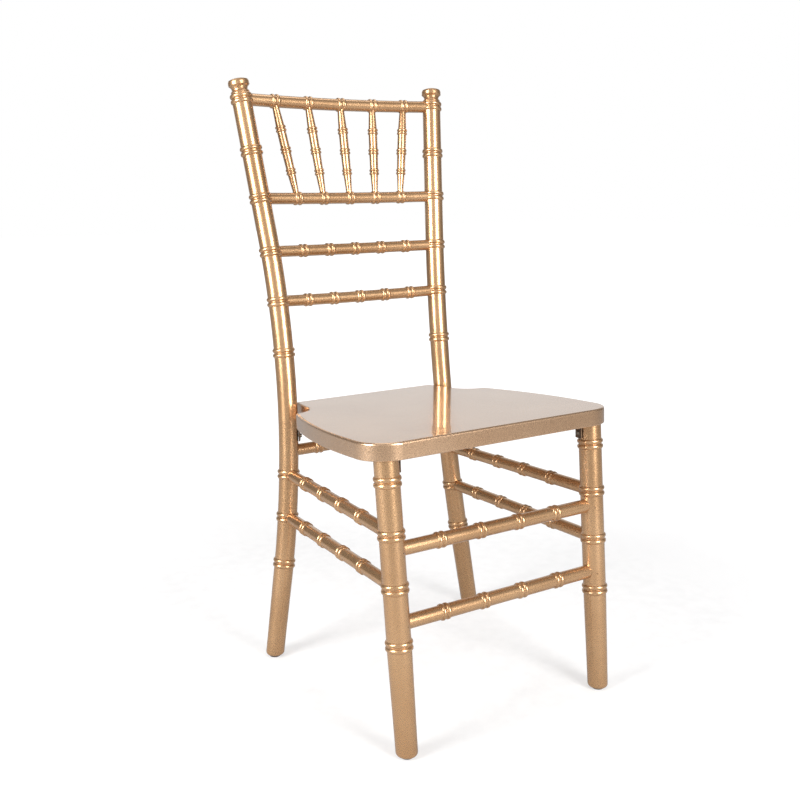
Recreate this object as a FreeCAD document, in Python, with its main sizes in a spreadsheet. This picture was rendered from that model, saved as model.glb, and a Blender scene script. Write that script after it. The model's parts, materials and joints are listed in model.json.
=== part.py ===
import FreeCAD, Part
import Sketcher
import math
import os

# A stacking banquet chair with bamboo-like turned members, in millimetres.
# +Z is up, the front faces -Y, and the origin is on the floor under the middle of the chair.
# "left" is the -X side, seen from in front of the chair.

Vector = FreeCAD.Vector

# Driving dimensions: alias, value in millimetres or degrees, what it is.
SIZES = [
    ("overall_height", 911.4, "floor to the top of the back posts"),
    ("post_foot_half_width", 197.6, "back post axis at the floor, from the middle"),
    ("post_foot_back", 125.7, "back post axis at the floor, behind the origin"),
    ("post_bend_half_width", 133.7, "corner of the back post's two straight runs"),
    ("post_bend_back", 141.3, "the same corner, behind the origin"),
    ("post_bend_height", 406.8, "the same corner, above the floor"),
    ("post_bend_radius", 1930.0, "radius that rounds the corner"),
    ("post_top_half_width", 180.1, "back post axis at the top"),
    ("post_top_back", 236.5, "back post axis at the top, behind the origin"),
    ("post_diameter", 31.2, "back post through the bend"),
    ("post_foot_diameter", 29.2, "back post at the floor"),
    ("post_top_diameter", 30.6, "back post under the finial"),
    ("leg_foot_half_width", 174.6, "front leg axis at the floor"),
    ("leg_foot_front", 237.1, "front leg axis at the floor, in front of the origin"),
    ("leg_top_half_width", 178.2, "front leg axis under the seat"),
    ("leg_top_front", 190.5, "front leg axis under the seat, in front of the origin"),
    ("leg_diameter", 33.8, "front leg above its taper"),
    ("leg_foot_diameter", 30.4, "front leg at the floor"),
    ("leg_taper_height", 142.5, "where the front leg's taper starts"),
    ("foot_round", 4.5, "rounding round each foot"),
    ("bead_pitch", 8.0, "between the two beads of a pair"),
    ("post_bead_radius", 3.9, "cross-section of a bead on a post or leg"),
    ("post_bead_proud", 2.2, "how far such a bead stands out"),
    ("rail_bead_radius", 3.5, "cross-section of a bead on a rail"),
    ("rail_bead_proud", 1.7, "how far such a bead stands out"),
    ("spindle_bead_pitch", 5.3, "between the two beads of a pair on a spindle"),
    ("spindle_bead_radius", 2.3, "cross-section of a bead on a spindle"),
    ("spindle_bead_proud", 1.5, "how far such a bead stands out"),
    ("collar_half_length", 8.0, "straight stretch each side of a bead pair on a bent piece"),
    ("crest_height", 882.3, "crest rail at the posts"),
    ("upper_back_rail_height", 731.7, "back rail under the spindles"),
    ("middle_back_rail_height", 650.0, "second back rail"),
    ("lower_back_rail_height", 572.8, "third back rail"),
    ("high_bead_height", 803.8, "bead pair on the post beside the spindles"),
    ("mid_bead_height", 492.6, "bead pair on the post above the seat"),
    ("low_bead_height", 154.3, "lowest bead pair on the post"),
    ("leg_top_bead_height", 377.5, "bead pair on the front leg under the seat"),
    ("leg_low_bead_height", 156.3, "lowest bead pair on the front leg"),
    ("rear_seat_rail_height", 335.5, "rear rail under the seat"),
    ("upper_side_back_height", 298.9, "upper side stretcher at the back post"),
    ("upper_side_front_height", 306.6, "upper side stretcher at the front leg"),
    ("lower_side_back_height", 229.7, "lower side stretcher at the back post"),
    ("lower_side_front_height", 234.6, "lower side stretcher at the front leg"),
    ("upper_front_height", 284.7, "upper front stretcher"),
    ("lower_front_height", 184.3, "lower front stretcher"),
    ("crest_diameter", 19.0, "crest rail"),
    ("back_rail_diameter", 18.0, "each of the three back rails"),
    ("front_stretcher_diameter", 20.0, "each front stretcher"),
    ("side_stretcher_diameter", 18.6, "each side stretcher and the rear seat rail"),
    ("back_rail_bow_angle", 3.6, "turn of a back rail's end from straight across"),
    ("back_rail_lead", 24.0, "straight end of a back rail, from the post axis"),
    ("crest_bow_drop", 12.0, "degrees that the crest rail's bow falls to the rear"),
    ("lower_bow_drop", 10.0, "degrees that the lowest back rail's bow falls to the rear"),
    ("level_bow_drop", 0.0, "degrees that the two other back rails' bows fall to the rear"),
    ("crest_bead_spacing", 60.2, "between bead pairs, and spindles, on the crest rail"),
    ("back_rail_bead_spacing", 48.7, "between bead pairs, and spindles, on a back rail"),
    ("front_bead_spacing", 67.5, "between bead pairs on a front stretcher or the rear rail"),
    ("side_bead_start", 71.5, "first bead pair of a side stretcher, from the post axis"),
    ("side_bead_spacing", 62.3, "between bead pairs on a side stretcher"),
    ("spindle_foot_diameter", 9.2, "lower end of a spindle"),
    ("spindle_low_diameter", 13.2, "a quarter of the way up a spindle"),
    ("spindle_middle_diameter", 14.4, "half way up a spindle"),
    ("spindle_high_diameter", 14.2, "three quarters of the way up a spindle"),
    ("spindle_head_diameter", 10.8, "upper end of a spindle"),
    ("spindle_seat_depth", 6.0, "how deep a spindle goes into its rail"),
    ("tenon_diameter", 12.0, "round tenon on each rail end"),
    ("tenon_stop", 4.0, "tenon's end, from the axis of the post or leg"),
    ("shoulder_sink", 1.0, "rail shoulder below the lowest edge of its socket"),
    ("fit_clearance", 0.15, "radial clearance of every tenon and screw"),
    ("end_clearance", 0.5, "free depth past the end of a tenon, screw or nail"),
    ("seat_front", 212.9, "seat's front edge, along the seat from above the origin"),
    ("seat_back", 163.2, "seat's rear edge"),
    ("seat_half_width", 211.5, "half the seat at its widest"),
    ("seat_widest_front", 140.4, "where the sides start to draw in"),
    ("seat_corner_radius", 45.0, "front corners"),
    ("seat_side_radius", 670.0, "sweep of each side"),
    ("seat_ear_back", 69.3, "rear end of each side"),
    ("seat_notch_radius", 40.0, "round the front of each post notch"),
    ("seat_neck_half_width", 139.0, "seat between the notches, at the front"),
    ("seat_neck_back", 109.7, "where the round of each notch ends"),
    ("seat_tongue_half_width", 130.2, "seat between the posts"),
    ("seat_tongue_radius", 3.5, "rear corners"),
    ("seat_ear_radius", 3.0, "rounding of the tip beside each notch"),
    ("seat_thickness", 24.3, "seat board"),
    ("seat_edge_radius", 3.2, "rounding of the top edge"),
    ("seat_under_radius", 1.6, "rounding of the bottom edge"),
    ("seat_height", 420.0, "top of the seat above the origin"),
    ("seat_slope", 3.6, "degrees that the seat falls towards the back"),
    ("seat_tenon_diameter", 20.0, "tenon of each front leg into the seat"),
    ("seat_tenon_depth", 14.0, "its depth"),
    ("bracket_width", 16.0, "angle brackets"),
    ("bracket_thickness", 2.0, "their sheet"),
    ("front_bracket_drop", 21.0, "front bracket's flange on the leg"),
    ("back_bracket_drop", 35.0, "back bracket's flange on the post"),
    ("front_bracket_turn", 12.0, "degrees from straight inwards to the rear"),
    ("back_bracket_turn", -30.0, "degrees from straight inwards to the rear"),
    ("bracket_hole_inset", 8.0, "screw from the end of each flange"),
    ("bracket_reach", 24.0, "flange under the seat"),
    ("bracket_gap", 0.3, "between a bracket and the round leg or post"),
    ("screw_diameter", 3.6, "bracket screws"),
    ("screw_length", 14.0, "under the head"),
    ("screw_head_diameter", 7.6, "bracket screws"),
    ("screw_crown_diameter", 5.0, "top of a bracket screw's head"),
    ("screw_head_height", 2.8, "bracket screws"),
    ("glide_diameter", 18.0, "glide under each foot"),
    ("glide_height", 2.5, "its thickness"),
    ("nail_diameter", 2.6, "nail that holds a glide"),
    ("nail_length", 16.0, "above the glide"),
    ("nail_head_diameter", 7.0, "sunk in the glide"),
    ("nail_head_height", 1.0, "sunk in the glide"),
    ("nail_head_recess", 0.8, "from the floor up to the nail's head"),
    ("brad_diameter", 1.5, "headless brad across each tenon"),
    ("brad_length", 22.0, "headless brad across each tenon"),
    ("brad_inset", 7.5, "brad from the axis of the post or leg"),
    ("brad_sink", 1.0, "brad's end below the skin of the wood"),
    ("drill_run_out", 8.0, "how far a hole's tool runs past the face it opens"),
]

# Finial on each back post: radius and depth below the top, from the beads up to the crown.
FINIAL = [
    ("bead_foot", 14.6, 24.0),
    ("ring_foot", 14.2, 21.2),
    ("ring", 14.7, 19.9),
    ("ring_head", 14.0, 18.5),
    ("groove", 12.6, 17.3),
    ("neck", 12.3, 15.4),
    ("flare", 13.2, 12.6),
    ("cap_under", 15.0, 10.6),
    ("cap_low", 16.4, 9.3),
    ("cap_high", 16.3, 4.6),
    ("cap_shoulder", 15.4, 1.9),
    ("crown", 12.2, 0.4),
]

document = FreeCAD.newDocument("chair")
sizes = document.addObject("Spreadsheet::Sheet", "Sizes")
layout = document.addObject("Spreadsheet::Sheet", "Layout")
nodes = {}
sockets = {}


def fill_sizes():
    """Puts the driving dimensions in the sheet, one row each."""
    for row, (alias, value, meaning) in enumerate(SIZES, start=1):
        sizes.set("A%d" % row, str(value))
        sizes.setAlias("A%d" % row, alias)
        sizes.set("B%d" % row, meaning)
    first = len(SIZES) + 1
    for index, (name, radius, depth) in enumerate(FINIAL):
        for column, (word, value) in zip("AB", (("radius", radius), ("depth", depth))):
            cell = "%s%d" % (column, first + index)
            sizes.set(cell, str(value))
            sizes.setAlias(cell, "finial_%s_%s" % (name, word))
    document.recompute()


def size(alias):
    """A driving dimension's value."""
    return float(getattr(sizes, alias))


layout_rows = {}


def worked_out(name, value):
    """Keeps a worked-out length in the second sheet, and gives the expression that reads it."""
    if name not in layout_rows:
        layout_rows[name] = len(layout_rows) + 1
        layout.set("A%d" % layout_rows[name], repr(float(value)))
        layout.setAlias("A%d" % layout_rows[name], name)
        layout.recompute()
    return "Layout." + name


def add(kind, name, bound=None, placement=None):
    """Adds one object, with its sizes bound to the sheets."""
    thing = document.addObject(kind, name)
    for field, expression in (bound or {}).items():
        thing.setExpression(field, expression)
    if placement is not None:
        thing.Placement = placement
    return thing


def unit(vector):
    return Vector(vector).normalize()


def along(start, direction):
    """Placement that stands local Z along a direction."""
    return FreeCAD.Placement(Vector(start), FreeCAD.Rotation(Vector(0, 0, 1), Vector(direction)))


def from_axes(origin, x_axis, y_axis, z_axis):
    """Placement whose local axes lie on three given directions."""
    matrix = FreeCAD.Matrix(
        x_axis.x, y_axis.x, z_axis.x, origin.x,
        x_axis.y, y_axis.y, z_axis.y, origin.y,
        x_axis.z, y_axis.z, z_axis.z, origin.z,
        0, 0, 0, 1)
    return FreeCAD.Placement(matrix)


def rod(name, start, end, radius):
    """Cylinder from one point to another; radius is an expression."""
    start = Vector(start)
    end = Vector(end)
    height = worked_out(name + "_length", (end - start).Length)
    return add("Part::Cylinder", name, {"Radius": radius, "Height": height}, along(start, end - start))


def taper(name, start, end, start_radius, end_radius):
    """Cone frustum from one point to another; the radii are expressions."""
    start = Vector(start)
    end = Vector(end)
    bound = {
        "Radius1": start_radius,
        "Radius2": end_radius,
        "Height": worked_out(name + "_length", (end - start).Length),
    }
    return add("Part::Cone", name, bound, along(start, end - start))


def bead_pair(name, centre, direction, shaft_radius, kind):
    """Two half-round beads side by side round a shaft; kind is post, rail or spindle."""
    direction = unit(direction)
    pitch = size("spindle_bead_pitch") if kind == "spindle" else size("bead_pitch")
    bound = {
        "Radius1": "%s + Sizes.%s_bead_proud - Sizes.%s_bead_radius" % (shaft_radius, kind, kind),
        "Radius2": "Sizes.%s_bead_radius" % kind,
    }
    pair = []
    for number, sign in enumerate((-1, 1), start=1):
        place = along(Vector(centre) + direction * (sign * pitch / 2), direction)
        pair.append(add("Part::Torus", "%s_bead_%d" % (name, number), bound, place))
    return pair


def fuse(name, pieces):
    whole = add("Part::MultiFuse", name)
    whole.Shapes = pieces
    return whole


def cut(name, base, tools):
    """The base less its tools."""
    result = add("Part::Cut", name)
    result.Base = base
    result.Tool = tools[0] if len(tools) == 1 else fuse(name + "_tools", tools)
    return result


def mirrored(name, source):
    """The same piece on the other side of the chair."""
    mirror = add("Part::Mirroring", name)
    mirror.Source = source
    mirror.Normal = Vector(1, 0, 0)
    return mirror


def keep(node, thing):
    """Makes an object the node of that name."""
    thing.Label = node
    nodes[node] = thing


def socket(owner, tool):
    """Notes a hole to be cut in an owner."""
    sockets.setdefault(owner, []).append(tool)


def elbow(name, radius, angle, bend, shaft):
    """Bent stretch of round shaft: part of a torus about the bend's centre."""
    bound = {
        "Radius1": worked_out(name + "_bend", radius),
        "Radius2": shaft,
        "Angle3": worked_out(name + "_turn", angle),
    }
    return add("Part::Torus", name, bound, bend)


def bent_shaft(name, radius, total_turn, stations, shaft, kind):
    """
    Round shaft bent to an arc about the local origin, from local +X, with a straight collar for each
    bead pair and each end. Angles in degrees from the start. Gives the pieces in local places.
    """
    half = size("collar_half_length")
    pieces = []

    def arc_point(turn):
        return Vector(radius * math.cos(turn), radius * math.sin(turn), 0)

    def arc_direction(turn):
        return Vector(-math.sin(turn), math.cos(turn), 0)

    stops = [0.0] + [math.radians(turn) for turn in stations] + [math.radians(total_turn)]
    for index, turn in enumerate(stops):
        first = index == 0
        last = index == len(stops) - 1
        start = arc_point(turn) - arc_direction(turn) * (0 if first else half)
        end = arc_point(turn) + arc_direction(turn) * (0 if last else half)
        pieces.append(rod("%s_collar_%d" % (name, index), start, end, shaft))
        if not first and not last:
            beads = "%s_%d" % (name, index)
            pieces += bead_pair(beads, arc_point(turn), arc_direction(turn), shaft, kind)
        if last:
            break
        gap = stops[index + 1] - turn
        bend = radius - half / math.tan(gap / 2)
        start = arc_point(turn) + arc_direction(turn) * half
        centre = start - arc_point(turn) * (bend / radius)
        place = FreeCAD.Placement(centre, FreeCAD.Rotation(Vector(0, 0, 1), math.degrees(turn)))
        pieces.append(elbow("%s_span_%d" % (name, index), bend, math.degrees(gap), place, shaft))
    return pieces


def place_all(pieces, placement):
    """Moves pieces made in a local frame to the chair's frame."""
    for piece in pieces:
        piece.Placement = placement.multiply(piece.Placement)


fill_sizes()

# Axes of the left back post: two straight runs and the arc between them.
post_foot = Vector(-size("post_foot_half_width"), size("post_foot_back"), 0)
post_corner = Vector(-size("post_bend_half_width"), size("post_bend_back"), size("post_bend_height"))
post_top = Vector(-size("post_top_half_width"), size("post_top_back"), size("overall_height"))
post_low_way = unit(post_corner - post_foot)
post_high_way = unit(post_top - post_corner)
post_turn = math.acos(post_low_way.dot(post_high_way))
post_tangent = size("post_bend_radius") * math.tan(post_turn / 2)
post_arc_start = post_corner - post_low_way * post_tangent
post_arc_end = post_corner + post_high_way * post_tangent
post_inward = unit(post_high_way - post_low_way * post_high_way.dot(post_low_way))
post_centre = post_arc_start + post_inward * size("post_bend_radius")


def post_turn_at(height):
    """Turn along the post's arc, in radians, at a height."""
    low = 0.0
    high = post_turn
    for _ in range(60):
        middle = (low + high) / 2
        if post_arc_point(middle).z < height:
            low = middle
        else:
            high = middle
    return (low + high) / 2


def post_arc_point(turn):
    radius = size("post_bend_radius")
    outward = post_inward * (-math.cos(turn) * radius)
    return post_centre + outward + post_low_way * (math.sin(turn) * radius)


def post_axis(height):
    """Point and upward direction of the left back post's axis at a height."""
    if height <= post_arc_start.z:
        share = (height - post_foot.z) / (post_corner.z - post_foot.z)
        return post_foot + (post_corner - post_foot) * share, post_low_way
    if height >= post_arc_end.z:
        share = (height - post_corner.z) / (post_top.z - post_corner.z)
        return post_corner + (post_top - post_corner) * share, post_high_way
    turn = post_turn_at(height)
    way = post_inward * math.sin(turn) + post_low_way * math.cos(turn)
    return post_arc_point(turn), way


def post_radius(height):
    """Radius of the back post's shaft at a height."""
    if height < post_arc_start.z:
        share = height / post_arc_start.z
        return (size("post_foot_diameter") * (1 - share) + size("post_diameter") * share) / 2
    if height > post_arc_end.z:
        share = (height - post_arc_end.z) / (size("overall_height") - post_arc_end.z)
        return (size("post_diameter") * (1 - share) + size("post_top_diameter") * share) / 2
    return size("post_diameter") / 2


# The seat's own frame: local XY is the top of the seat, local Z its upward normal.
seat_angle = math.radians(size("seat_slope"))
seat_back_way = Vector(0, math.cos(seat_angle), -math.sin(seat_angle))
seat_normal = Vector(0, math.sin(seat_angle), math.cos(seat_angle))
seat_origin = Vector(0, 0, size("seat_height"))
seat_frame = from_axes(seat_origin, Vector(1, 0, 0), seat_back_way, seat_normal)


def seat_point(across, back, below=0.0):
    """Point given along the seat, in the chair's frame."""
    return seat_frame.multVec(Vector(across, back, -below))


def under_seat_level(back):
    """Height of the seat's underside above a line across the floor."""
    below = seat_point(0, 0, size("seat_thickness"))
    return below.z - (back - below.y) * math.tan(seat_angle)


# Axis of the left front leg, from the floor to the underside of the seat.
leg_foot = Vector(-size("leg_foot_half_width"), -size("leg_foot_front"), 0)
leg_top = Vector(-size("leg_top_half_width"), -size("leg_top_front"), 0)
leg_top.z = under_seat_level(leg_top.y)
leg_way = unit(leg_top - leg_foot)


def leg_axis(height):
    """Point and upward direction of the left front leg's axis at a height."""
    return leg_foot + (leg_top - leg_foot) * (height / leg_top.z), leg_way


def leg_radius(height):
    """Radius of the front leg's shaft at a height."""
    share = min(1.0, height / size("leg_taper_height"))
    return (size("leg_foot_diameter") * (1 - share) + size("leg_diameter") * share) / 2


def shoulder_distance(shaft_radius, rail_diameter):
    """Rail shoulder from the shaft's axis, sunk below the lowest edge of its socket."""
    reach = math.sqrt(shaft_radius ** 2 - (rail_diameter / 2) ** 2)
    return reach - size("shoulder_sink")


def rail_socket(owner, name, point, way, shaft_radius, rail_size):
    """Stepped blind hole for a rail in a post or leg: way points out of the mouth."""
    shoulder = shoulder_distance(shaft_radius, size(rail_size))
    past = shaft_radius + size("post_bead_proud") + 2 * size("post_bead_radius")
    mouth = "Sizes.%s / 2 + Sizes.fit_clearance" % rail_size
    bore = "Sizes.tenon_diameter / 2 + Sizes.fit_clearance"
    bottom = size("tenon_stop") - size("end_clearance")
    mouth_end = shoulder + size("shoulder_sink")
    socket(owner, rod(name + "_mouth", point + way * shoulder, point + way * past, mouth))
    socket(owner, rod(name + "_bore", point + way * bottom, point + way * mouth_end, bore))
    return shoulder


def brad(owner, rail_name, name, point, rail_way, brad_way, shaft_radius):
    """
    Headless brad through a leg or post and the tenon in it. No owner means a right-hand leg or post,
    which gets its hole by mirroring.
    """
    middle = point + rail_way * size("brad_inset")
    brad_way = unit(brad_way - rail_way * brad_way.dot(rail_way))
    length = size("brad_length")
    skin = math.sqrt(shaft_radius ** 2 - size("brad_inset") ** 2)
    start = middle + brad_way * (skin - size("brad_sink"))
    end = start - brad_way * length
    deep = end - brad_way * size("end_clearance")
    hole = "Sizes.brad_diameter / 2 + Sizes.fit_clearance"
    pin = rod(name, start, end, "Sizes.brad_diameter / 2")
    if owner:
        socket(owner, rod(name + "_hole", start + brad_way * size("drill_run_out"), deep, hole))
    socket(rail_name, rod(name + "_tenon_hole", start, deep, hole))
    brads.append(pin)


brads = []


def straight_rail(node, start, end, start_radius, end_radius, rail_size, stations):
    """Straight turned rail between two shafts' axes, with its tenons and bead pairs."""
    way = unit(end - start)
    near = shoulder_distance(start_radius, size(rail_size))
    far = shoulder_distance(end_radius, size(rail_size))
    shaft = "Sizes.%s / 2" % rail_size
    stop = size("tenon_stop")
    pieces = [
        rod(node + "_shaft", start + way * near, end - way * far, shaft),
        rod(node + "_tenons", start + way * stop, end - way * stop, "Sizes.tenon_diameter / 2"),
    ]
    for number, distance in enumerate(stations, start=1):
        pieces += bead_pair("%s_%d" % (node, number), start + way * distance, way, shaft, "rail")
    return fuse(node + "_whole", pieces)


def finish(node, whole):
    """Cuts a piece's sockets and keeps it as a node."""
    tools = sockets.get(node, [])
    keep(node, cut(node + "_cut", whole, tools) if tools else whole)


def mirror_point(point):
    return Vector(-point.x, point.y, point.z)


# Bowed rails of the back: each springs from the post axis along a tangent that turns backwards.
lean = math.atan2(post_high_way.y, post_high_way.z)
bow_angle = math.radians(size("back_rail_bow_angle"))


class BackRail:
    """Where one bowed rail runs."""

    def __init__(self, node, height, rail_size, spacing, drop):
        self.node = node
        self.rail_size = rail_size
        self.height = height
        fall = lean + math.radians(size(drop))
        self.normal = Vector(0, math.cos(fall), -math.sin(fall))
        self.left_way = Vector(math.cos(bow_angle), 0, 0) + self.normal * math.sin(bow_angle)
        self.end, _ = post_axis(height)
        half = abs(self.end.x)
        tangent = half / math.cos(bow_angle) - size("back_rail_lead")
        self.radius = tangent / math.tan(bow_angle)
        bow = half * math.tan(bow_angle) - self.radius * (1 / math.cos(bow_angle) - 1)
        self.middle = Vector(0, self.end.y, self.end.z) + self.normal * bow
        self.centre = self.middle - self.normal * self.radius
        self.crossings = [spacing * step for step in (-2, -1, 0, 1, 2)]

    def point(self, across):
        turn = math.asin(across / self.radius)
        return self.centre + self.normal * (self.radius * math.cos(turn)) + Vector(across, 0, 0)

    def frame(self):
        x_axis = self.normal * math.cos(bow_angle) - Vector(math.sin(bow_angle), 0, 0)
        y_axis = self.normal * math.sin(bow_angle) + Vector(math.cos(bow_angle), 0, 0)
        return from_axes(self.centre, x_axis, y_axis, x_axis.cross(y_axis))


crest = BackRail("crest_rail", size("crest_height"), "crest_diameter", size("crest_bead_spacing"),
                 "crest_bow_drop")
upper_back = BackRail("back_rail_upper", size("upper_back_rail_height"), "back_rail_diameter",
                      size("back_rail_bead_spacing"), "level_bow_drop")
middle_back = BackRail("back_rail_middle", size("middle_back_rail_height"), "back_rail_diameter",
                       size("back_rail_bead_spacing"), "level_bow_drop")
lower_back = BackRail("back_rail_lower", size("lower_back_rail_height"), "back_rail_diameter",
                      size("back_rail_bead_spacing"), "lower_bow_drop")
back_rails = [crest, upper_back, middle_back, lower_back]


def make_back_rail(rail):
    """One bowed rail with five bead pairs, let into both posts."""
    turns = [math.degrees(bow_angle + math.asin(x / rail.radius)) for x in rail.crossings]
    total = math.degrees(2 * bow_angle)
    shaft = "Sizes.%s / 2" % rail.rail_size
    pieces = bent_shaft(rail.node, rail.radius, total, turns, shaft, "rail")
    place_all(pieces, rail.frame())
    radius = post_radius(rail.height)
    lead = size("back_rail_lead")
    for side, word in ((1, "left"), (-1, "right")):
        start = Vector(rail.end.x * side, rail.end.y, rail.end.z)
        way = Vector(rail.left_way.x * side, rail.left_way.y, rail.left_way.z)
        shoulder = shoulder_distance(radius, size(rail.rail_size))
        name = "%s_%s" % (rail.node, word)
        pieces.append(rod(name + "_lead", start + way * shoulder, start + way * lead, shaft))
        tenon = "Sizes.tenon_diameter / 2"
        pieces.append(rod(name + "_tenon", start + way * size("tenon_stop"), start + way * lead, tenon))
        owner = "back_post_left" if side == 1 else None
        brad(owner, rail.node, name + "_brad", start, way, Vector(0, 1, 0), radius)
    rail_socket("back_post_left", rail.node, rail.end, rail.left_way, radius, rail.rail_size)
    return fuse(rail.node + "_whole", pieces)


def make_spindle(number, low, high):
    """Fanned spindle from the upper back rail to the crest rail, thickest half way up."""
    node = "spindle_%d" % number
    way = unit(high - low)
    depth = size("spindle_seat_depth")
    start = low + way * (size("back_rail_diameter") / 2 - depth)
    end = high - way * (size("crest_diameter") / 2 - depth)
    low_skin = low + way * (size("back_rail_diameter") / 2)
    high_skin = high - way * (size("crest_diameter") / 2)
    quarter = (high_skin - low_skin) * 0.25
    levels = [low_skin + quarter * step for step in range(5)]
    girths = ["foot", "low", "middle", "high", "head"]
    radii = ["Sizes.spindle_%s_diameter / 2" % girth for girth in girths]
    pieces = []
    for step in range(4):
        span = "%s_span_%d" % (node, step)
        pieces.append(taper(span, levels[step], levels[step + 1], radii[step], radii[step + 1]))
    pieces.append(rod(node + "_foot", start, low_skin, radii[0]))
    pieces.append(rod(node + "_head", high_skin, end, radii[4]))
    for step in (1, 2, 3):
        pieces += bead_pair("%s_%d" % (node, step), levels[step], way, radii[step], "spindle")
    hole = "%s + Sizes.fit_clearance"
    deep = size("end_clearance")
    out = size("drill_run_out")
    low_hole = rod(node + "_low_hole", start - way * deep, low_skin + way * out, hole % radii[0])
    high_hole = rod(node + "_high_hole", high_skin - way * out, end + way * deep, hole % radii[4])
    socket("back_rail_upper", low_hole)
    socket("crest_rail", high_hole)
    keep(node, fuse(node + "_whole", pieces))


def finial_body():
    """Turned finial on top of the back post, as a revolved sketch. Local Z is its axis, down from 0."""
    body = add("PartDesign::Body", "finial")
    sketch = body.newObject("Sketcher::SketchObject", "finial_profile")
    sketch.AttachmentSupport = [(origin_plane(body, "XZ_Plane"), "")]
    sketch.MapMode = "FlatFace"
    names = [name for name, _, _ in FINIAL]
    outline = [(size("finial_%s_radius" % name), -size("finial_%s_depth" % name)) for name in names]
    bottom = (0.0, outline[0][1])
    corners = [bottom] + outline + [(0.0, 0.0)]
    aliases = [None] + names + ["axis_top"]
    closed_outline(sketch, corners)
    for index, alias in enumerate(aliases):
        if alias is None or alias == "axis_top":
            continue
        radius = sketch.addConstraint(Sketcher.Constraint("DistanceX", -1, 1, index, 1, corners[index][0]))
        depth = sketch.addConstraint(Sketcher.Constraint("DistanceY", index, 1, -1, 1, -corners[index][1]))
        sketch.setExpression("Constraints[%d]" % radius, "Sizes.finial_%s_radius" % alias)
        sketch.setExpression("Constraints[%d]" % depth, "Sizes.finial_%s_depth" % alias)
    sketch.addConstraint(Sketcher.Constraint("PointOnObject", 0, 1, -2))
    sketch.addConstraint(Sketcher.Constraint("Horizontal", 0))
    sketch.addConstraint(Sketcher.Constraint("Coincident", len(corners) - 1, 1, -1, 1))
    turned = body.newObject("PartDesign::Revolution", "finial_turned")
    turned.Profile = sketch
    turned.ReferenceAxis = (sketch, ["V_Axis"])
    turned.Angle = 360.0
    body.Tip = turned
    return body


def origin_plane(body, role):
    return next(plane for plane in body.Origin.OriginFeatures if plane.Role == role)


def closed_outline(sketch, corners):
    """Adds a closed run of lines through the corners, each line starting at its corner."""
    count = len(corners)
    for index in range(count):
        first = Vector(corners[index][0], corners[index][1], 0)
        second = Vector(corners[(index + 1) % count][0], corners[(index + 1) % count][1], 0)
        sketch.addGeometry(Part.LineSegment(first, second), False)
    for index in range(count):
        following = (index + 1) % count
        sketch.addConstraint(Sketcher.Constraint("Coincident", index, 2, following, 1))


def ground_tool(name):
    """Everything below the top of the glides."""
    wide = 2 * size("seat_half_width") + size("overall_height")
    place = FreeCAD.Placement(Vector(-wide / 2, -wide / 2, -wide), FreeCAD.Rotation())
    side = worked_out("ground_side", wide)
    deep = "Layout.ground_side + Sizes.glide_height"
    return add("Part::Box", name, {"Length": side, "Width": side, "Height": deep}, place)


def round_foot(name, base):
    """Rounds the edge round the bottom of a leg or post."""
    document.recompute()
    level = size("glide_height")
    chosen = []
    for index, edge in enumerate(base.Shape.Edges, start=1):
        box = edge.BoundBox
        if box.ZMax < level + 0.01 and box.ZLength < 0.01:
            chosen.append((index, size("foot_round"), size("foot_round")))
    rounded = add("Part::Fillet", name)
    rounded.Base = base
    rounded.Edges = chosen
    return rounded


def nail_hole(owner, foot):
    """Vertical blind hole for a glide's nail."""
    top = size("glide_height") + size("nail_length") + size("end_clearance")
    hole = "Sizes.nail_diameter / 2 + Sizes.fit_clearance"
    socket(owner, rod(owner + "_nail_hole", Vector(foot.x, foot.y, 0), Vector(foot.x, foot.y, top), hole))


def foot_point(axis):
    """Middle of the foot at the top of the glide."""
    point, _ = axis(size("glide_height"))
    return point


def make_back_post():
    """The left back post: tapered foot, bent middle, tapered top, finial, beads and sockets."""
    shaft = "Sizes.post_diameter / 2"
    bead_heights = [size(name) for name in (
        "low_bead_height", "lower_side_back_height", "upper_side_back_height", "mid_bead_height",
        "lower_back_rail_height", "middle_back_rail_height", "upper_back_rail_height",
        "high_bead_height", "crest_height")]
    room = 2 * size("collar_half_length")
    lowest = post_arc_start.z + room
    highest = post_arc_end.z - room
    inside = [height for height in bead_heights if lowest < height < highest]
    turns = [math.degrees(post_turn_at(height)) for height in inside]
    total = math.degrees(post_turn)
    bent = bent_shaft("post", size("post_bend_radius"), total, turns, shaft, "post")
    local_x = post_inward * -1
    place_all(bent, from_axes(post_centre, local_x, post_low_way, local_x.cross(post_low_way)))
    shoulder = post_top - post_high_way * size("finial_bead_foot_depth")
    foot = "Sizes.post_foot_diameter / 2"
    head = "Sizes.post_top_diameter / 2"
    pieces = bent + [
        taper("post_low_run", post_foot, post_arc_start, foot, shaft),
        taper("post_high_run", post_arc_end, shoulder, shaft, head),
    ]
    for number, height in enumerate(h for h in bead_heights if h not in inside):
        point, way = post_axis(height)
        radius = worked_out("post_bead_shaft_%d" % number, post_radius(height))
        pieces += bead_pair("post_run_%d" % number, point, way, radius, "post")
    finial = finial_body()
    finial.Placement = along(post_top, post_high_way)
    pieces.append(finial)
    whole = fuse("back_post_whole", pieces)
    standing = cut("back_post_standing", whole, [ground_tool("back_post_ground")])
    return round_foot("back_post_rounded", standing)


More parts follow.
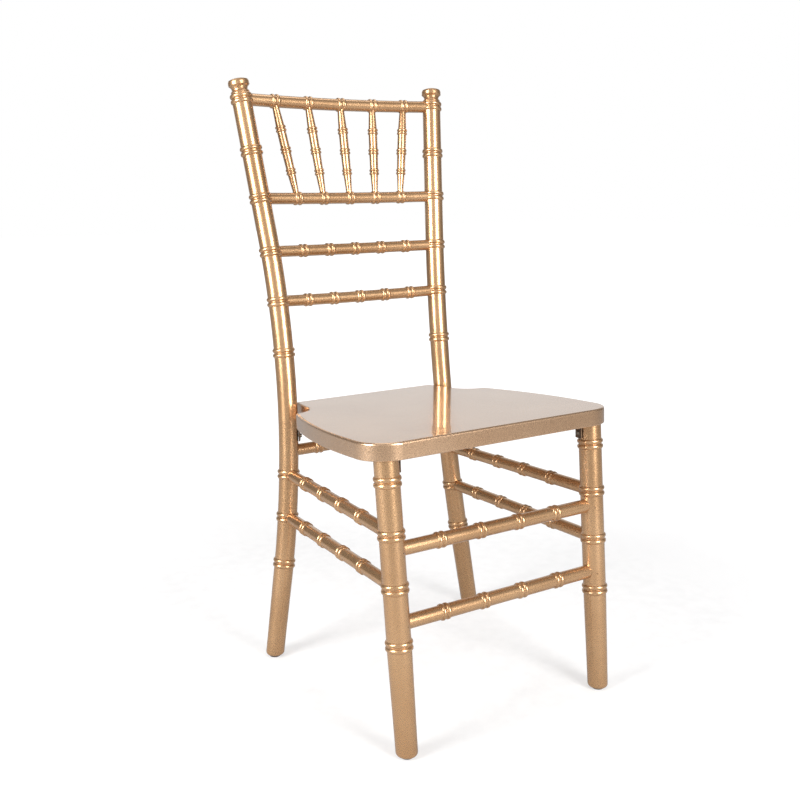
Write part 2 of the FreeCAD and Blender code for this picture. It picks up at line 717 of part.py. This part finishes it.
def make_front_leg():
    """The left front leg, with its tenon into the seat."""
    taper_end, _ = leg_axis(size("leg_taper_height"))
    above = leg_top + leg_way * size("leg_diameter")
    shaft = "Sizes.leg_diameter / 2"
    pieces = [
        taper("leg_low_run", leg_foot, taper_end, "Sizes.leg_foot_diameter / 2", shaft),
        rod("leg_high_run", taper_end, above, shaft),
    ]
    heights = [size(name) for name in (
        "leg_low_bead_height", "lower_side_front_height", "upper_side_front_height",
        "leg_top_bead_height")]
    for number, height in enumerate(heights, start=1):
        point, way = leg_axis(height)
        pieces += bead_pair("leg_%d" % number, point, way, shaft, "post")
    whole = fuse("front_leg_shaft", pieces)
    reach = size("leg_diameter") * 3
    corner = leg_top - Vector(reach / 2, 0, 0) - seat_back_way * (reach / 2)
    place = from_axes(corner, Vector(1, 0, 0), seat_back_way, seat_normal)
    side = worked_out("leg_trim_side", reach)
    above_tool = add("Part::Box", "leg_trim", {"Length": side, "Width": side, "Height": side}, place)
    trimmed = cut("front_leg_trimmed", whole, [ground_tool("leg_ground"), above_tool])
    root = leg_top - leg_way * size("seat_tenon_depth")
    tenon = rod("leg_tenon", root, seat_tenon_end(), "Sizes.seat_tenon_diameter / 2")
    tenoned = fuse("front_leg_tenoned", [trimmed, tenon])
    return round_foot("front_leg_rounded", tenoned)


def seat_tenon_end():
    return leg_top + leg_way * size("seat_tenon_depth")


def seat_corners():
    """Right half of the seat's outline from the front: name, across, back, and the next edge."""
    side_radius = size("seat_side_radius")
    drawn_in = size("seat_ear_back") + size("seat_widest_front")
    ear = size("seat_half_width") - (side_radius - math.sqrt(side_radius ** 2 - drawn_in ** 2))
    corner = size("seat_corner_radius")
    tongue_end = size("seat_back") - size("seat_tongue_radius")
    return [
        ("front_end", size("seat_half_width") - corner, -size("seat_front"), ("seat_corner_radius", 1)),
        ("corner_end", size("seat_half_width"), corner - size("seat_front"), None),
        ("side_start", size("seat_half_width"), -size("seat_widest_front"), ("seat_side_radius", 1)),
        ("ear", ear, size("seat_ear_back"), ("seat_notch_radius", -1)),
        ("neck", size("seat_neck_half_width"), size("seat_neck_back"), None),
        ("tongue", size("seat_tongue_half_width"), tongue_end, ("seat_tongue_radius", 1)),
        ("back_end", size("seat_tongue_half_width") - size("seat_tongue_radius"), size("seat_back"), None),
    ]


def arc_edge(first, second, radius, turning):
    """Arc from one point to another, bulging to the right of the way when turning is 1."""
    chord = second - first
    middle = (first + second) * 0.5
    rise = math.sqrt(radius ** 2 - (chord.Length / 2) ** 2)
    side = unit(Vector(-chord.y, chord.x, 0))
    centre = middle + side * (rise * turning)
    top = centre - side * (radius * turning)
    return Part.Arc(first, top, second)


def make_seat():
    """The seat board: a padded sketch with rounded edges, in the seat's own frame."""
    body = add("PartDesign::Body", "seat_body")
    sketch = body.newObject("Sketcher::SketchObject", "seat_outline")
    sketch.AttachmentSupport = [(origin_plane(body, "XY_Plane"), "")]
    sketch.MapMode = "FlatFace"
    right = seat_corners()
    run = []
    for name, across, back, edge in right:
        run.append((name, 1, across, back, edge))
    for index in range(len(right) - 1, -1, -1):
        name, across, back, _ = right[index]
        edge = right[index - 1][3] if index > 0 else None
        run.append((name, -1, -across, back, edge))
    count = len(run)
    for index, (name, sign, across, back, edge) in enumerate(run):
        following = run[(index + 1) % count]
        first = Vector(across, back, 0)
        second = Vector(following[2], following[3], 0)
        if edge is None:
            sketch.addGeometry(Part.LineSegment(first, second), False)
        else:
            sketch.addGeometry(arc_edge(first, second, size(edge[0]), edge[1]), False)
    ends = []
    for index, (name, sign, across, back, edge) in enumerate(run):
        here = Vector(across, back, 0)
        start = 1 if (sketch.getPoint(index, 1) - here).Length < 0.01 else 2
        ends.append((start, 3 - start))
    for index, (name, sign, across, back, edge) in enumerate(run):
        following = (index + 1) % count
        sketch.addConstraint(Sketcher.Constraint(
            "Coincident", index, ends[index][1], following, ends[following][0]))
    for index, (name, sign, across, back, edge) in enumerate(run):
        across_cell = worked_out("seat_%s_across" % name, abs(across))
        back_cell = worked_out("seat_%s_back" % name, back)
        point = (index, ends[index][0])
        for kind, value, expression in (
                ("DistanceX", across, ("" if sign > 0 else "-") + across_cell),
                ("DistanceY", back, back_cell)):
            number = sketch.addConstraint(Sketcher.Constraint(kind, point[0], point[1], value))
            sketch.setExpression("Constraints[%d]" % number, expression)
        if edge is not None:
            number = sketch.addConstraint(Sketcher.Constraint("Radius", index, size(edge[0])))
            sketch.setExpression("Constraints[%d]" % number, "Sizes." + edge[0])
    board = body.newObject("PartDesign::Pad", "seat_board_pad")
    board.Profile = sketch
    board.setExpression("Length", "Sizes.seat_thickness")
    board.Reversed = True
    body.Tip = board
    document.recompute()
    ear_back = size("seat_ear_back")
    ears = edges_where(board.Shape, lambda box: box.ZLength > 1 and abs(box.YMin - ear_back) < 0.5)
    board = rounded(body, board, "seat_ears", ears, "seat_ear_radius")
    under = -size("seat_thickness")
    tops = edges_where(board.Shape, lambda box: box.ZMin > -0.01)
    board = rounded(body, board, "seat_top_edges", tops, "seat_edge_radius")
    unders = edges_where(board.Shape, lambda box: box.ZMax < under + 0.01)
    board = rounded(body, board, "seat_under_edges", unders, "seat_under_radius")
    body.Placement = seat_frame
    return body


def edges_where(shape, wanted):
    """Names of a shape's edges whose bounding box is wanted."""
    return ["Edge%d" % index for index, edge in enumerate(shape.Edges, start=1) if wanted(edge.BoundBox)]


def rounded(body, base, name, edges, radius):
    """Adds a fillet to a body."""
    fillet = body.newObject("PartDesign::Fillet", name)
    fillet.Base = (base, edges)
    fillet.setExpression("Radius", "Sizes." + radius)
    body.Tip = fillet
    document.recompute()
    return fillet


def bracket_place(axis_point, turn_size, shaft_radius):
    """Placement of a left-hand bracket: beside a shaft whose axis meets the seat's underside at a point."""
    turn = math.radians(size(turn_size))
    x_axis = Vector(math.cos(turn), 0, 0) + seat_back_way * math.sin(turn)
    origin = axis_point + x_axis * (shaft_radius + size("bracket_gap"))
    return from_axes(origin, x_axis, seat_normal.cross(x_axis), seat_normal)


def make_bracket(name, place, owner, drop_size):
    """
    Angle bracket: local X runs under the seat, local Z is the seat's normal and the origin is the inside
    corner against the seat. The owner gets the holes for its screws.
    """
    body = add("PartDesign::Body", name + "_body")
    sketch = body.newObject("Sketcher::SketchObject", name + "_profile")
    sketch.AttachmentSupport = [(origin_plane(body, "XZ_Plane"), "")]
    sketch.MapMode = "FlatFace"
    reach = size("bracket_reach")
    drop = size(drop_size)
    sheet = size("bracket_thickness")
    corners = [(0, 0), (reach, 0), (reach, -sheet), (sheet, -sheet), (sheet, -drop), (0, -drop)]
    closed_outline(sketch, corners)
    for line in (0, 2, 4):
        sketch.addConstraint(Sketcher.Constraint("Horizontal", line))
    for line in (1, 3, 5):
        sketch.addConstraint(Sketcher.Constraint("Vertical", line))
    sketch.addConstraint(Sketcher.Constraint("Coincident", 0, 1, -1, 1))
    for kind, line, value, expression in (
            ("DistanceX", 0, reach, "Sizes.bracket_reach"),
            ("DistanceX", 4, -sheet, "-Sizes.bracket_thickness"),
            ("DistanceY", 1, -sheet, "-Sizes.bracket_thickness"),
            ("DistanceY", 5, drop, "Sizes." + drop_size)):
        number = sketch.addConstraint(Sketcher.Constraint(kind, line, 1, line, 2, value))
        sketch.setExpression("Constraints[%d]" % number, expression)
    pad = body.newObject("PartDesign::Pad", name + "_pad")
    pad.Profile = sketch
    pad.setExpression("Length", "Sizes.bracket_width")
    pad.Midplane = True
    body.Tip = pad
    body.Placement = place
    into_seat = place.multVec(Vector(reach - size("bracket_hole_inset"), 0, 0))
    into_leg = place.multVec(Vector(0, 0, size("bracket_hole_inset") - drop))
    up = place.Rotation.multVec(Vector(0, 0, 1))
    outward = place.Rotation.multVec(Vector(-1, 0, 0))
    make_screw(name + "_seat_screw", into_seat, up, name, "seat_board")
    make_screw(name + "_leg_screw", into_leg, outward, name, owner)
    return body


screws = []


def make_screw(name, point, way, bracket, wood):
    """Round-head screw from a bracket's far face into wood; point is on the wood's face."""
    sheet = size("bracket_thickness")
    under_head = point - way * sheet
    tip = under_head + way * size("screw_length")
    head_end = under_head - way * size("screw_head_height")
    shank = rod(name + "_shank", under_head, tip, "Sizes.screw_diameter / 2")
    head = taper(name + "_head", under_head, head_end, "Sizes.screw_head_diameter / 2",
                 "Sizes.screw_crown_diameter / 2")
    screws.append(fuse(name, [shank, head]))
    hole = "Sizes.screw_diameter / 2 + Sizes.fit_clearance"
    deep = tip + way * size("end_clearance")
    out = way * size("drill_run_out")
    socket(bracket, rod(name + "_hole", under_head - out, point + out, hole))
    socket(wood, rod(name + "_pilot", under_head, deep, hole))


def make_glide(word, point):
    """Plastic glide and its nail under one foot."""
    floor = Vector(point.x, point.y, 0)
    top = floor + Vector(0, 0, size("glide_height"))
    seat_level = size("nail_head_recess") + size("nail_head_height")
    disc = rod("glide_disc_" + word, floor, top, "Sizes.glide_diameter / 2")
    out = Vector(0, 0, size("drill_run_out"))
    shank_hole = rod("glide_hole_" + word, floor, top + out,
                     "Sizes.nail_diameter / 2 + Sizes.fit_clearance")
    head_hole = rod("glide_recess_" + word, floor - out, floor + Vector(0, 0, seat_level),
                    "Sizes.nail_head_diameter / 2 + Sizes.fit_clearance")
    glide = cut("glide_" + word, disc, [shank_hole, head_hole])
    head_start = floor + Vector(0, 0, size("nail_head_recess"))
    head_top = floor + Vector(0, 0, seat_level)
    nail_end = top + Vector(0, 0, size("nail_length"))
    head = rod("nail_head_" + word, head_start, head_top, "Sizes.nail_head_diameter / 2")
    shank = rod("nail_shank_" + word, head_start, nail_end, "Sizes.nail_diameter / 2")
    nail = fuse("nail_" + word, [head, shank])
    return glide, nail


def group(node, pieces):
    """Keeps identical pieces as one node of separate solids."""
    together = add("Part::Compound", node + "_group")
    together.Links = pieces
    keep(node, together)


# Stretchers between the legs, and the rails of the back.
post_rear, post_rear_way = post_axis(size("rear_seat_rail_height"))
rear_span = 2 * abs(post_rear.x)
rear_stations = [rear_span / 2 + size("front_bead_spacing") * step for step in (-1.5, -0.5, 0.5, 1.5)]
rear_radius = post_radius(size("rear_seat_rail_height"))
rear_whole = straight_rail("rear_seat_rail", post_rear, mirror_point(post_rear), rear_radius,
                           rear_radius, "side_stretcher_diameter", rear_stations)
rail_socket("back_post_left", "rear_seat_rail", post_rear, Vector(1, 0, 0), rear_radius,
            "side_stretcher_diameter")
brad("back_post_left", "rear_seat_rail", "rear_seat_rail_left_brad", post_rear, Vector(1, 0, 0),
     Vector(0, 1, 0), rear_radius)
brad(None, "rear_seat_rail", "rear_seat_rail_right_brad", mirror_point(post_rear),
     Vector(-1, 0, 0), Vector(0, 1, 0), rear_radius)

front_wholes = {}
for level in ("upper", "lower"):
    node = "front_stretcher_" + level
    height = size(level + "_front_height")
    left, _ = leg_axis(height)
    right = mirror_point(left)
    radius = leg_radius(height)
    span = (right - left).Length
    stations = [span / 2 + size("front_bead_spacing") * step for step in (-1.5, -0.5, 0.5, 1.5)]
    front_wholes[node] = straight_rail(node, left, right, radius, radius, "front_stretcher_diameter",
                                       stations)
    rail_socket("front_leg_left", node, left, Vector(1, 0, 0), radius, "front_stretcher_diameter")
    brad("front_leg_left", node, node + "_left_brad", left, Vector(1, 0, 0), Vector(0, -1, 0), radius)
    brad(None, node, node + "_right_brad", right, Vector(-1, 0, 0), Vector(0, -1, 0), radius)

side_wholes = {}
for level in ("upper", "lower"):
    node = "side_stretcher_%s_left" % level
    back, _ = post_axis(size(level + "_side_back_height"))
    front, _ = leg_axis(size(level + "_side_front_height"))
    way = unit(front - back)
    back_radius = post_radius(back.z)
    front_radius = leg_radius(front.z)
    stations = [size("side_bead_start") + size("side_bead_spacing") * step for step in range(4)]
    side_wholes[node] = straight_rail(node, back, front, back_radius, front_radius,
                                      "side_stretcher_diameter", stations)
    rail_socket("back_post_left", node + "_back", back, way, back_radius, "side_stretcher_diameter")
    rail_socket("front_leg_left", node + "_front", front, way * -1, front_radius,
                "side_stretcher_diameter")
    outward = Vector(-1, 0, 0)
    brad("back_post_left", node, node + "_back_brad", back, way, outward, back_radius)
    brad("front_leg_left", node, node + "_front_brad", front, way * -1, outward, front_radius)

back_wholes = {rail.node: make_back_rail(rail) for rail in back_rails}
for number, (low_x, high_x) in enumerate(zip(upper_back.crossings, crest.crossings), start=1):
    make_spindle(number, upper_back.point(low_x), crest.point(high_x))

# Seat, brackets and the holes they need.
seat_whole = make_seat()
front_place = bracket_place(leg_top, "front_bracket_turn", leg_radius(leg_top.z))
post_seat, _ = post_axis(under_seat_level(post_corner.y))
post_seat.z = under_seat_level(post_seat.y)
back_place = bracket_place(post_seat, "back_bracket_turn", size("post_diameter") / 2)
front_bracket = make_bracket("bracket_front_left", front_place, "front_leg_left", "front_bracket_drop")
back_bracket = make_bracket("bracket_back_left", back_place, "back_post_left", "back_bracket_drop")
tenon_hole = "Sizes.seat_tenon_diameter / 2 + Sizes.fit_clearance"
tenon_deep = seat_tenon_end() + leg_way * size("end_clearance")
tenon_root = leg_top - leg_way * size("seat_tenon_depth")
socket("seat_board", rod("seat_mortise", tenon_root, tenon_deep, tenon_hole))

# Legs and posts, with their nail holes and every socket cut.
nail_hole("front_leg_left", foot_point(leg_axis))
nail_hole("back_post_left", foot_point(post_axis))
front_leg_whole = make_front_leg()
back_post_whole = make_back_post()
finish("front_leg_left", front_leg_whole)
finish("back_post_left", back_post_whole)
keep("front_leg_right", mirrored("front_leg_mirror", nodes["front_leg_left"]))
keep("back_post_right", mirrored("back_post_mirror", nodes["back_post_left"]))

# The seat has every hole on both sides.
seat_holes = sockets["seat_board"]
both_sides = seat_holes + [mirrored(tool.Name + "_mirror", tool) for tool in seat_holes]
keep("seat_board", cut("seat_board_cut", seat_whole, both_sides))

for name, whole in [("bracket_front_left", front_bracket), ("bracket_back_left", back_bracket)]:
    finish(name, whole)
    keep(name.replace("left", "right"), mirrored(name + "_mirror", nodes[name]))

finish("rear_seat_rail", rear_whole)
for node, whole in list(front_wholes.items()) + list(back_wholes.items()):
    finish(node, whole)
for node, whole in side_wholes.items():
    finish(node, whole)
    keep(node.replace("left", "right"), mirrored(node + "_mirror", nodes[node]))

# Fasteners and glides, each kind in one node.
right_brads = [mirrored(pin.Name + "_mirror", pin) for pin in brads if pin.Name.startswith("side_")]
group("joint_brads", brads + right_brads)
group("bracket_screws", screws + [mirrored(screw.Name + "_mirror", screw) for screw in screws])
glides = []
nails = []
for word, axis in (("front", leg_axis), ("back", post_axis)):
    glide, nail = make_glide(word, foot_point(axis))
    glides += [glide, mirrored("glide_mirror_" + word, glide)]
    nails += [nail, mirrored("nail_mirror_" + word, nail)]
group("foot_glides", glides)
group("glide_nails", nails)

document.recompute()
for thing in document.Objects:
    if "Invalid" in thing.State or "Error" in thing.State:
        raise RuntimeError("%s could not be built: %s" % (thing.Name, thing.State))
for node, thing in nodes.items():
    if thing.Shape.isNull() or not thing.Shape.isValid():
        raise RuntimeError("%s has no valid shape" % node)

os.makedirs("parts", exist_ok=True)
for node, thing in sorted(nodes.items()):
    thing.Shape.exportStep("parts/%s.step" % node)
    print("%-32s %2d solids %10.1f mm3" % (node, len(thing.Shape.Solids), thing.Shape.Volume))
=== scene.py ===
import bpy
import json
import math
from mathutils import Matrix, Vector

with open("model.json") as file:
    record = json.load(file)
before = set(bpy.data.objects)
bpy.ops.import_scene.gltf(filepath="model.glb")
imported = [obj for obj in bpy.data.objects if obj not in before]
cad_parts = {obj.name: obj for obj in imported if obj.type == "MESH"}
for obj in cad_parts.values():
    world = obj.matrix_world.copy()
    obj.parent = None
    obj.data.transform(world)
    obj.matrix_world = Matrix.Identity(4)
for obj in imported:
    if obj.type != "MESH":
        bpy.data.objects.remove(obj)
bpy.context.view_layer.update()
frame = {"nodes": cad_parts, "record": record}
nodes = frame["nodes"]

scene = bpy.context.scene
scene.view_settings.view_transform = "Standard"

# The camera of the photograph: place in metres, angles in degrees, lens and sensor in millimetres.
CAMERA_PLACE = (-0.8360, -1.2551, 0.7664)
CAMERA_AZIMUTH = 32.56
CAMERA_PITCH = 12.65
CAMERA_LENS = 44.96
SENSOR_WIDTH = 36.0

# Studio levels. The floor glows to the eye, more so from the first reach to the second, in metres from the
# middle of the chair, and it glows less in reflections.
FLOOR_GLOW = (0.53, 1.0)
GLOW_REACH = (0.55, 2.2)
REFLECTED_GLOW = 0.08
ROOM_LIGHT = (0.36, 0.355, 0.36)
WHITE = (1.0, 1.0, 1.0)
# What the lacquer reflects, from the camera's side of the room round to the white paper behind the chair.
SWEEP = [(0.0, 0.58), (0.30, 0.52), (0.52, 0.24), (0.74, 0.10), (0.88, 0.28), (0.955, 0.80)]

# The floor's half width, and how far it lies below the glides, in metres.
FLOOR_HALF = 12.0
FLOOR_GAP = 0.0002

# Soft boxes: place, point aimed at, width, height and watts.
SOFT_BOXES = {
    "left_box": ((-2.1, -0.15, 1.25), (0, 0, 0.55), 0.9, 1.5, 56.0),
    "front_box": ((0.35, -2.2, 1.25), (0, 0, 0.55), 0.9, 1.5, 56.0),
    "top_box": ((0.4, 0.6, 3.0), (0, 0, 0.4), 1.6, 1.6, 16.0),
}

# Noise stays near its middle, so these are its low and high values in use.
NOISE_LOW = 0.3
NOISE_HIGH = 0.7


def new_material(name):
    """An empty node material with its shader and output."""
    material = bpy.data.materials.new(name)
    material.use_nodes = True
    tree = material.node_tree
    tree.nodes.clear()
    output = tree.nodes.new("ShaderNodeOutputMaterial")
    shader = tree.nodes.new("ShaderNodeBsdfPrincipled")
    tree.links.new(shader.outputs["BSDF"], output.inputs["Surface"])
    return material, tree, shader


def noise(tree, scale, detail, roughness=0.5, stretch=(1, 1, 1)):
    """Noise in the object's own space, stretched along its axes."""
    place = tree.nodes.new("ShaderNodeTexCoord")
    mapping = tree.nodes.new("ShaderNodeMapping")
    mapping.inputs["Scale"].default_value = stretch
    tree.links.new(place.outputs["Object"], mapping.inputs["Vector"])
    node = tree.nodes.new("ShaderNodeTexNoise")
    node.inputs["Scale"].default_value = scale
    node.inputs["Detail"].default_value = detail
    node.inputs["Roughness"].default_value = roughness
    tree.links.new(mapping.outputs["Vector"], node.inputs["Vector"])
    return node


def ramp(tree, source, stops):
    """Colour ramp fed from a value, with a stop at each place and colour given."""
    node = tree.nodes.new("ShaderNodeValToRGB")
    elements = node.color_ramp.elements
    while len(elements) < len(stops):
        elements.new(0.5)
    for element, (place, colour) in zip(elements, stops):
        element.position = place
        element.color = (*colour, 1.0)
    tree.links.new(source, node.inputs["Fac"])
    return node


def value_range(tree, source, low, high, start, end):
    """The value between low and high, as the source goes from start to end."""
    node = tree.nodes.new("ShaderNodeMapRange")
    node.inputs["From Min"].default_value = start
    node.inputs["From Max"].default_value = end
    node.inputs["To Min"].default_value = low
    node.inputs["To Max"].default_value = high
    tree.links.new(source, node.inputs["Value"])
    return node


def set_colour(tree, shader, source, stops):
    """Base colour from a ramp over the source."""
    colour = ramp(tree, source, stops)
    tree.links.new(colour.outputs["Color"], shader.inputs["Base Color"])


def set_roughness(tree, shader, pattern, low, high):
    """Roughness between low and high with a noise pattern."""
    rough = value_range(tree, pattern.outputs["Fac"], low, high, NOISE_LOW, NOISE_HIGH)
    tree.links.new(rough.outputs["Result"], shader.inputs["Roughness"])


def bump(tree, shader, pattern, distance, strength):
    """Relief from a noise pattern, its depth in metres."""
    node = tree.nodes.new("ShaderNodeBump")
    node.inputs["Distance"].default_value = distance
    node.inputs["Strength"].default_value = strength
    tree.links.new(pattern.outputs["Fac"], node.inputs["Height"])
    tree.links.new(node.outputs["Normal"], shader.inputs["Normal"])


def gold_lacquer(name, dark, light, roughness, coat, coat_roughness, grain_stretch):
    """Gold paint with fine metal flake, under a clear coat, over the faint grain of the wood."""
    material, tree, shader = new_material(name)
    cloud = noise(tree, scale=9.0, detail=4.0, roughness=0.55)
    flake = noise(tree, scale=900.0, detail=2.0, roughness=0.7)
    grain = noise(tree, scale=60.0, detail=5.0, roughness=0.6, stretch=grain_stretch)
    flake_share = 0.35
    mixed = tree.nodes.new("ShaderNodeMath")
    mixed.operation = "MULTIPLY_ADD"
    tree.links.new(flake.outputs["Fac"], mixed.inputs[0])
    mixed.inputs[1].default_value = flake_share
    tree.links.new(cloud.outputs["Fac"], mixed.inputs[2])
    set_colour(tree, shader, mixed.outputs[0], [(0.40, dark), (0.95, light)])
    set_roughness(tree, shader, flake, roughness - 0.05, roughness + 0.07)
    shader.inputs["Metallic"].default_value = 0.85
    shader.inputs["Coat Weight"].default_value = coat
    shader.inputs["Coat Roughness"].default_value = coat_roughness
    bump(tree, shader, grain, distance=0.00012, strength=0.35)
    return material


def frame_lacquer():
    """Satin gold on the turnings, with the grain up the posts and legs."""
    dark, light = (0.54, 0.305, 0.145), (0.69, 0.425, 0.225)
    return gold_lacquer("gold_lacquer", dark, light, roughness=0.27, coat=0.60, coat_roughness=0.10,
                        grain_stretch=(1.0, 1.0, 0.08))


def seat_lacquer():
    """Glossy gold on the seat, with the grain from front to back."""
    dark, light = (0.56, 0.345, 0.20), (0.68, 0.45, 0.28)
    return gold_lacquer("gold_lacquer_gloss", dark, light, roughness=0.26, coat=1.0, coat_roughness=0.03,
                        grain_stretch=(1.0, 0.10, 1.0))


def bracket_paint_and_painted_shade():
    """Bronze paint with small scuffs, its very dark colour partly painted shade from under the seat."""
    material, tree, shader = new_material("bronze_paint_and_painted_shade")
    scuff = noise(tree, scale=260.0, detail=4.0, roughness=0.65)
    # The dark and light colours are partly the paint and partly painted shade, as the brackets sit in the
    # shade under the seat.
    dark, light = (0.11, 0.065, 0.038), (0.22, 0.14, 0.08)
    set_colour(tree, shader, scuff.outputs["Fac"], [(0.35, dark), (0.75, light)])
    set_roughness(tree, shader, scuff, 0.32, 0.55)
    shader.inputs["Metallic"].default_value = 0.7
    bump(tree, shader, scuff, distance=0.0001, strength=0.3)
    return material


def fastener_metal():
    """Steel with a dull zinc coat."""
    material, tree, shader = new_material("dull_steel")
    wear = noise(tree, scale=500.0, detail=3.0, roughness=0.6)
    dark, light = (0.16, 0.13, 0.10), (0.34, 0.30, 0.25)
    set_colour(tree, shader, wear.outputs["Fac"], [(NOISE_LOW, dark), (0.75, light)])
    set_roughness(tree, shader, wear, 0.30, 0.5)
    shader.inputs["Metallic"].default_value = 1.0
    bump(tree, shader, wear, distance=0.00005, strength=0.3)
    return material


def glide_plastic():
    """Dark moulded plastic with a fine grain."""
    material, tree, shader = new_material("glide_plastic")
    grain = noise(tree, scale=1200.0, detail=2.0, roughness=0.6)
    dark, light = (0.030, 0.024, 0.020), (0.055, 0.046, 0.038)
    set_colour(tree, shader, grain.outputs["Fac"], [(NOISE_LOW, dark), (NOISE_HIGH, light)])
    set_roughness(tree, shader, grain, 0.45, 0.62)
    bump(tree, shader, grain, distance=0.00005, strength=0.4)
    return material


def dress_nodes():
    """Put each node's material in its slots."""
    materials = {
        "lacquered_frame": frame_lacquer(),
        "lacquered_seat": seat_lacquer(),
        "bracket_metal": bracket_paint_and_painted_shade(),
        "fastener_steel": fastener_metal(),
        "glide_plastic": glide_plastic(),
    }
    slots = {part["node"]: part["material_slot"] for part in frame["record"]["subparts"]}
    for name, node in nodes.items():
        for slot in node.material_slots:
            slot.material = materials[slots[name]]


def seen_by(tree, reflected):
    """One for the eye and through glass, and a share of one in reflections."""
    path = tree.nodes.new("ShaderNodeLightPath")
    eye = tree.nodes.new("ShaderNodeMath")
    eye.operation = "MAXIMUM"
    tree.links.new(path.outputs["Is Camera Ray"], eye.inputs[0])
    tree.links.new(path.outputs["Is Transmission Ray"], eye.inputs[1])
    both = tree.nodes.new("ShaderNodeMath")
    both.operation = "MULTIPLY_ADD"
    both.use_clamp = True
    tree.links.new(path.outputs["Is Glossy Ray"], both.inputs[0])
    both.inputs[1].default_value = reflected
    tree.links.new(eye.outputs[0], both.inputs[2])
    return both.outputs[0]


def add_glow(tree, shader):
    """Add a glow to the shader, which rises with the distance from the middle of the chair."""
    place = tree.nodes.new("ShaderNodeNewGeometry")
    distance = tree.nodes.new("ShaderNodeVectorMath")
    distance.operation = "LENGTH"
    tree.links.new(place.outputs["Position"], distance.inputs[0])
    level = value_range(tree, distance.outputs["Value"], *FLOOR_GLOW, *GLOW_REACH)
    strength = tree.nodes.new("ShaderNodeMath")
    strength.operation = "MULTIPLY"
    tree.links.new(level.outputs["Result"], strength.inputs[0])
    tree.links.new(seen_by(tree, REFLECTED_GLOW), strength.inputs[1])
    glow = tree.nodes.new("ShaderNodeEmission")
    tree.links.new(strength.outputs[0], glow.inputs["Strength"])
    both = tree.nodes.new("ShaderNodeAddShader")
    tree.links.new(shader.outputs["BSDF"], both.inputs[0])
    tree.links.new(glow.outputs["Emission"], both.inputs[1])
    output = next(node for node in tree.nodes if node.type == "OUTPUT_MATERIAL")
    tree.links.new(both.outputs["Shader"], output.inputs["Surface"])


def floor_paper():
    """Matt pale paper. Its glow makes it white to the eye, with the chair's shadow grey on it."""
    material, tree, shader = new_material("floor_white")
    shader.inputs["Roughness"].default_value = 0.95
    shader.inputs["Specular IOR Level"].default_value = 0.0
    fibre = noise(tree, scale=40.0, detail=2.0)
    dark, light = (0.43, 0.43, 0.43), (0.47, 0.47, 0.47)
    set_colour(tree, shader, fibre.outputs["Fac"], [(NOISE_LOW, dark), (NOISE_HIGH, light)])
    add_glow(tree, shader)
    return material


def lay_floor():
    """A large pale floor under the chair's feet."""
    mesh = bpy.data.meshes.new("floor")
    half = FLOOR_HALF
    corners = [(-half, -half, 0), (half, -half, 0), (half, half, 0), (-half, half, 0)]
    mesh.from_pydata(corners, [], [(0, 1, 2, 3)])
    thing = bpy.data.objects.new("floor", mesh)
    scene.collection.objects.link(thing)
    thing.location.z = -FLOOR_GAP
    mesh.materials.append(floor_paper())


def background(tree, colour):
    """World light of one colour."""
    node = tree.nodes.new("ShaderNodeBackground")
    node.inputs["Color"].default_value = (*colour, 1.0)
    return node


def choose(tree, share, first, second):
    """The first shader where the share is nought, and the second where it is one."""
    node = tree.nodes.new("ShaderNodeMixShader")
    tree.links.new(share, node.inputs["Fac"])
    tree.links.new(first, node.inputs[1])
    tree.links.new(second, node.inputs[2])
    return node.outputs["Shader"]


def mirrored_room(tree):
    """What reflections show: the white paper behind the chair and the dimmer room round it."""
    place = tree.nodes.new("ShaderNodeTexCoord")
    ahead = tree.nodes.new("ShaderNodeVectorMath")
    ahead.operation = "DOT_PRODUCT"
    azimuth = math.radians(CAMERA_AZIMUTH)
    ahead.inputs[1].default_value = (math.sin(azimuth), math.cos(azimuth), 0.0)
    tree.links.new(place.outputs["Generated"], ahead.inputs[0])
    share = value_range(tree, ahead.outputs["Value"], 0.0, 1.0, -1.0, 1.0)
    shade = ramp(tree, share.outputs["Result"], [(at, (level,) * 3) for at, level in SWEEP])
    room = background(tree, WHITE)
    tree.links.new(shade.outputs["Color"], room.inputs["Color"])
    return room


def light_room():
    """A world that is white to the eye, mirrors the room and fills the shadows with an even grey."""
    world = bpy.data.worlds.new("studio")
    scene.world = world
    world.use_nodes = True
    tree = world.node_tree
    tree.nodes.clear()
    output = tree.nodes.new("ShaderNodeOutputWorld")
    to_eye = background(tree, WHITE).outputs["Background"]
    fill = background(tree, ROOM_LIGHT).outputs["Background"]
    mirrored = mirrored_room(tree).outputs["Background"]
    path = tree.nodes.new("ShaderNodeLightPath")
    unseen = choose(tree, path.outputs["Is Glossy Ray"], fill, mirrored)
    everything = choose(tree, seen_by(tree, 0.0), unseen, to_eye)
    tree.links.new(everything, output.inputs["Surface"])


def hang_soft_box(name, place, target, width, height, power):
    """A soft box aimed at a point, as wide and tall as given in metres."""
    data = bpy.data.lights.new(name, "AREA")
    data.shape = "RECTANGLE"
    data.size = width
    data.size_y = height
    data.energy = power
    thing = bpy.data.objects.new(name, data)
    scene.collection.objects.link(thing)
    thing.location = place
    aim = Vector(target) - Vector(place)
    thing.rotation_euler = aim.to_track_quat("-Z", "Y").to_euler()


def place_camera():
    """The camera at the photograph's viewing angle."""
    data = bpy.data.cameras.new("camera")
    data.lens = CAMERA_LENS
    data.sensor_width = SENSOR_WIDTH
    camera = bpy.data.objects.new("camera", data)
    scene.collection.objects.link(camera)
    camera.location = CAMERA_PLACE
    camera.rotation_euler = (math.radians(90 - CAMERA_PITCH), 0.0, math.radians(-CAMERA_AZIMUTH))
    bpy.context.scene.camera = camera


dress_nodes()
lay_floor()
light_room()
for name, settings in SOFT_BOXES.items():
    hang_soft_box(name, *settings)
place_camera()
